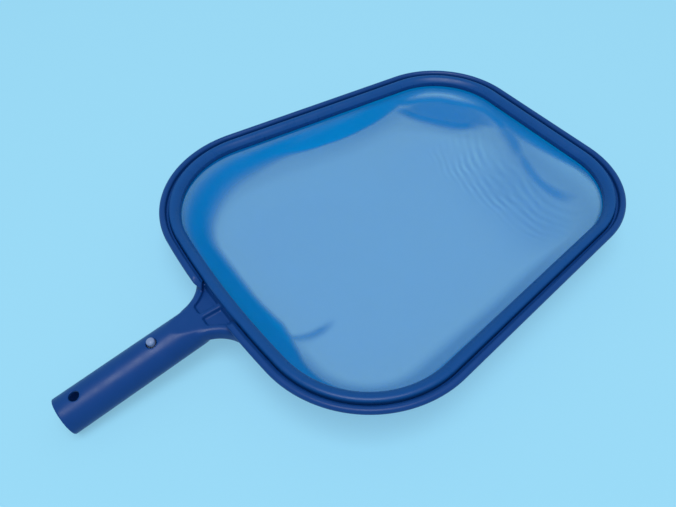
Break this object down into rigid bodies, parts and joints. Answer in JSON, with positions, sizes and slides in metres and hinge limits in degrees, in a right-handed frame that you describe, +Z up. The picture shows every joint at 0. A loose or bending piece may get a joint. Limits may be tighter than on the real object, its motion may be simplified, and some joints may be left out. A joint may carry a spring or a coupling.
{
  "type": "leaf skimmer net",
  "caption": "Hand leaf skimmer with a bead-edged rim, slack mesh bag under a retaining ring, flared neck and tube handle with sprung snap buttons.",
  "frame": {"origin": "on the surface that the net lies on, under the middle of its bounding box", "axes": "+X from the handle to the far edge of the rim, +Y across to the user's left, +Z up, towards the side the net is filled from"},
  "size_m": [0.4616, 0.3024, 0.0487],
  "materials": {
    "frame_plastic": "semi-gloss moulded polypropylene, royal blue",
    "ring_plastic": "semi-gloss moulded plastic, royal blue",
    "hem_cord": "woven cord",
    "net_mesh": "fine woven mesh, light blue",
    "clip_steel": "spring steel strip",
    "button_plastic": "smooth pale plastic"
  },
  "bodies": {
    "skimmer": {"frame": "frame_plastic", "retaining_ring": "ring_plastic", "hem_cord": "hem_cord", "net": "net_mesh", "clip_bend": "clip_steel"},
    "upper_catch": {"clip_arm_upper": "clip_steel", "button_upper": "button_plastic"},
    "lower_catch": {"clip_arm_lower": "clip_steel", "button_lower": "button_plastic"}
  },
  "joints": [
    {"name": "upper_button_press", "type": "hinge", "parent": "skimmer", "child": "upper_catch", "pos_m": [-0.14333, 0, 0.0373], "axis": [0, -1, 0], "range_deg": [0, 13.5], "stiffness_Nm_per_rad": 0.6},
    {"name": "lower_button_press", "type": "hinge", "parent": "skimmer", "child": "lower_catch", "pos_m": [-0.14033, 0, 0.01834], "axis": [0, 1, 0], "range_deg": [0, 13.5], "stiffness_Nm_per_rad": 0.6}
  ]
}
